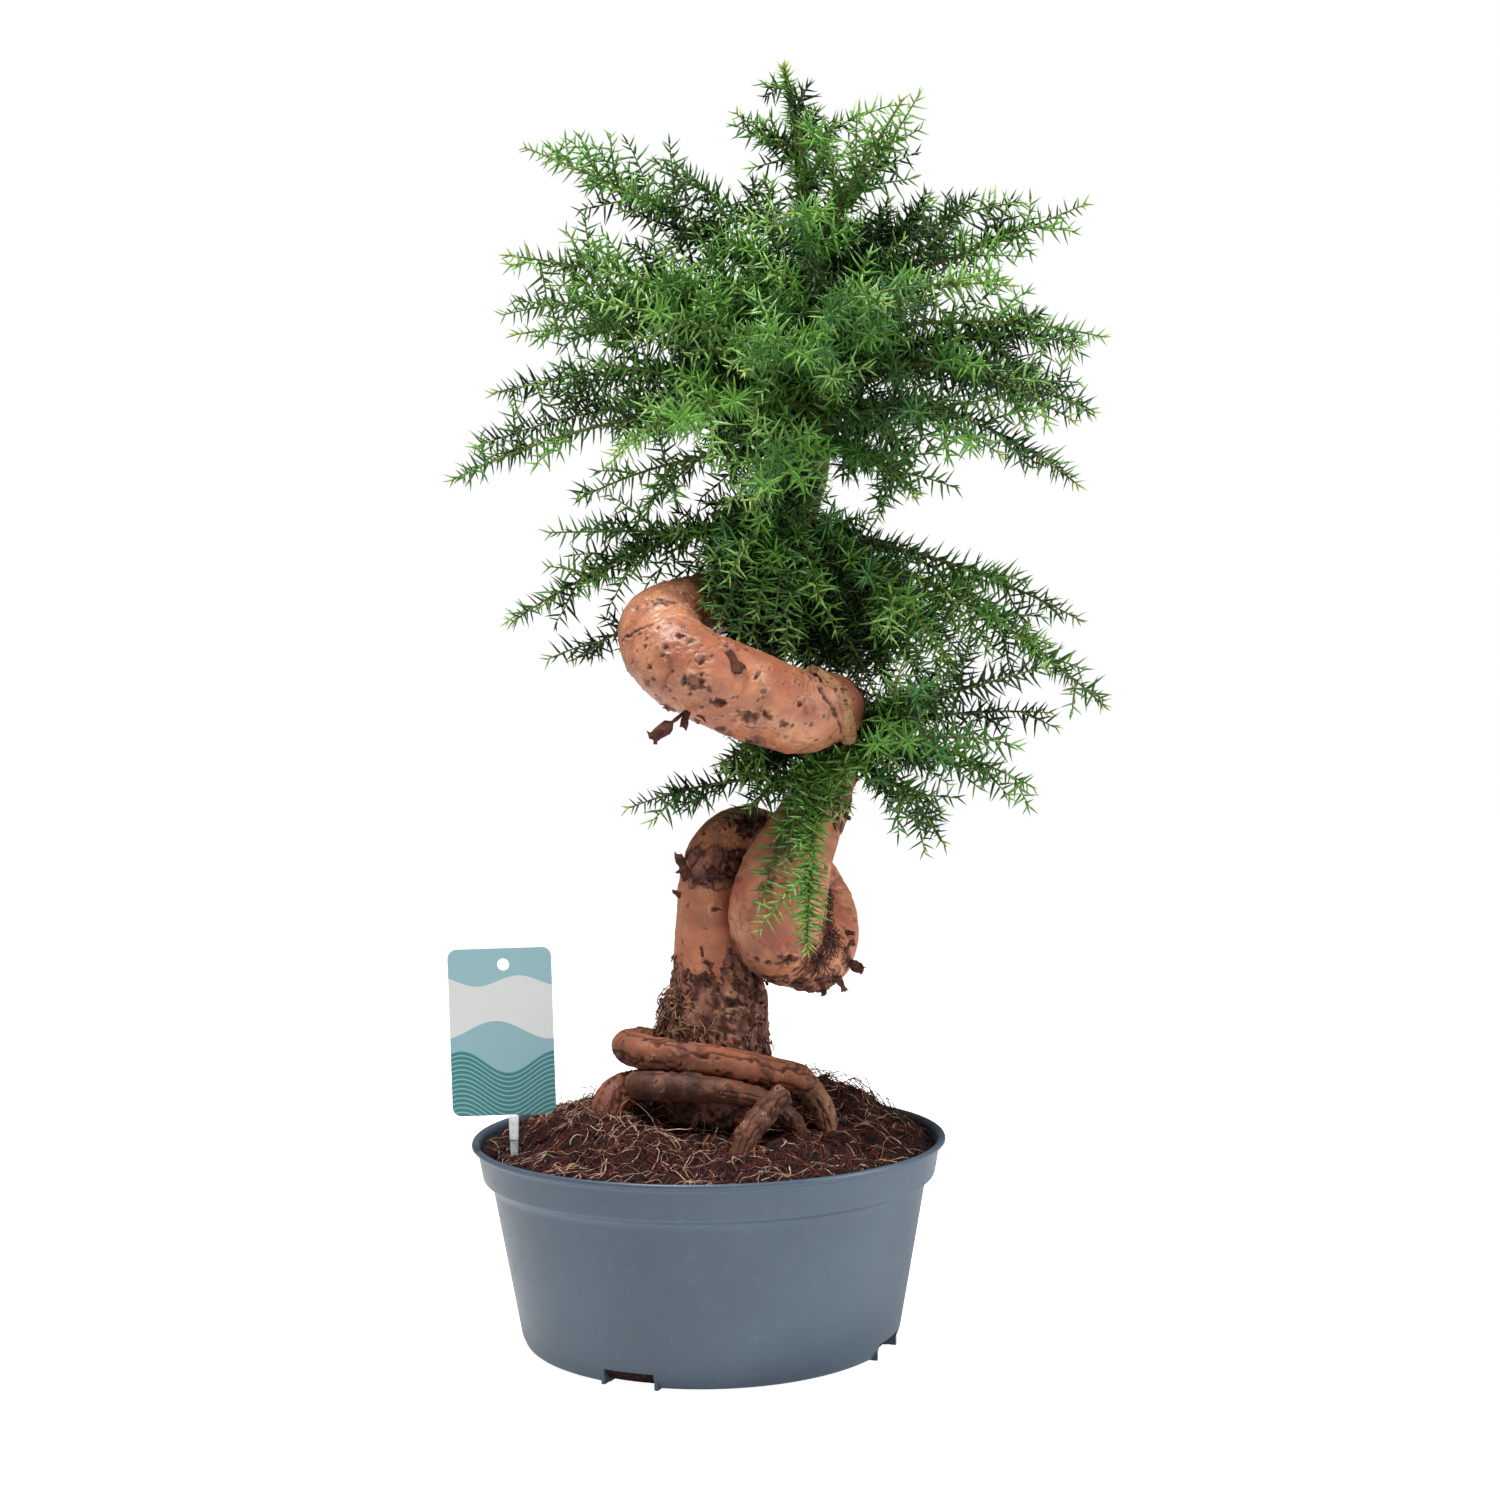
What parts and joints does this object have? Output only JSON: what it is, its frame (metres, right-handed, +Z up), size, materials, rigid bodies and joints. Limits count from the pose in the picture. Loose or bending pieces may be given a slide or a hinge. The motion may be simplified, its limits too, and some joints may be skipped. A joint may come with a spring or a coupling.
{
  "type": "potted hoop pine",
  "caption": "Young hoop pine with a thick knotted trunk, wrapped surface roots and a layered needle canopy, in a low round plastic pot with a plain label",
  "frame": {"origin": "middle of the pot's flat underside", "axes": "+Z up along the pot's axis, -Y towards the front, where the label stands at the left, +X to the right"},
  "size_m": [0.3733, 0.295, 0.7202],
  "materials": {
    "pot_plastic": "moulded polypropylene, satin, blue-grey",
    "coir": "loose damp coconut fibre, red-brown",
    "label_print": null,
    "label_stick": "translucent white plastic stick",
    "bark": "smooth salmon-tan bark with fine wrinkles, pits and thin peeling flakes",
    "green_bark": "thin green-brown bark of the leading shoot",
    "root_bark": "brown root bark with lengthwise splits",
    "needles": "stiff pointed green needles on thin twigs, light yellow-green at the tips"
  },
  "bodies": {
    "root": {"foliage_back_1": "needles", "foliage_back_2": "needles", "foliage_back_3": "needles", "foliage_back_4": "needles", "foliage_back_5": "needles", "foliage_back_6": "needles", "foliage_back_7": "needles", "foliage_front_1": "needles", "foliage_front_2": "needles", "foliage_front_3": "needles", "foliage_front_4": "needles", "foliage_front_5": "needles", "foliage_left_1": "needles", "foliage_left_2": "needles", "foliage_left_3": "needles", "foliage_left_4": "needles", "foliage_left_5": "needles", "foliage_left_6": "needles", "foliage_left_7": "needles", "foliage_left_8": "needles", "foliage_low_1": "needles", "foliage_low_2": "needles", "foliage_low_3": "needles", "foliage_low_4": "needles", "foliage_low_5": "needles", "foliage_low_6": "needles", "foliage_mid_1": "needles", "foliage_mid_2": "needles", "foliage_mid_3": "needles", "foliage_mid_4": "needles", "foliage_right_1": "needles", "foliage_right_10": "needles", "foliage_right_2": "needles", "foliage_right_3": "needles", "foliage_right_4": "needles", "foliage_right_5": "needles", "foliage_right_6": "needles", "foliage_right_7": "needles", "foliage_right_8": "needles", "foliage_right_9": "needles", "foliage_top_front": "needles", "foliage_top_left": "needles", "foliage_top_right": "needles", "label_card": "label_print", "label_stick": "label_stick", "leader": "green_bark", "pot": "pot_plastic", "root_front": "root_bark", "root_lower": "root_bark", "root_right": "root_bark", "root_stub": "root_bark", "root_upper": "root_bark", "soil": "coir", "trunk_back": "bark", "trunk_curl": "bark", "trunk_fold": "bark", "trunk_foot": "bark", "trunk_lobe": "bark", "trunk_riser": "bark", "trunk_strand": "bark"}
  },
  "joints": []
}
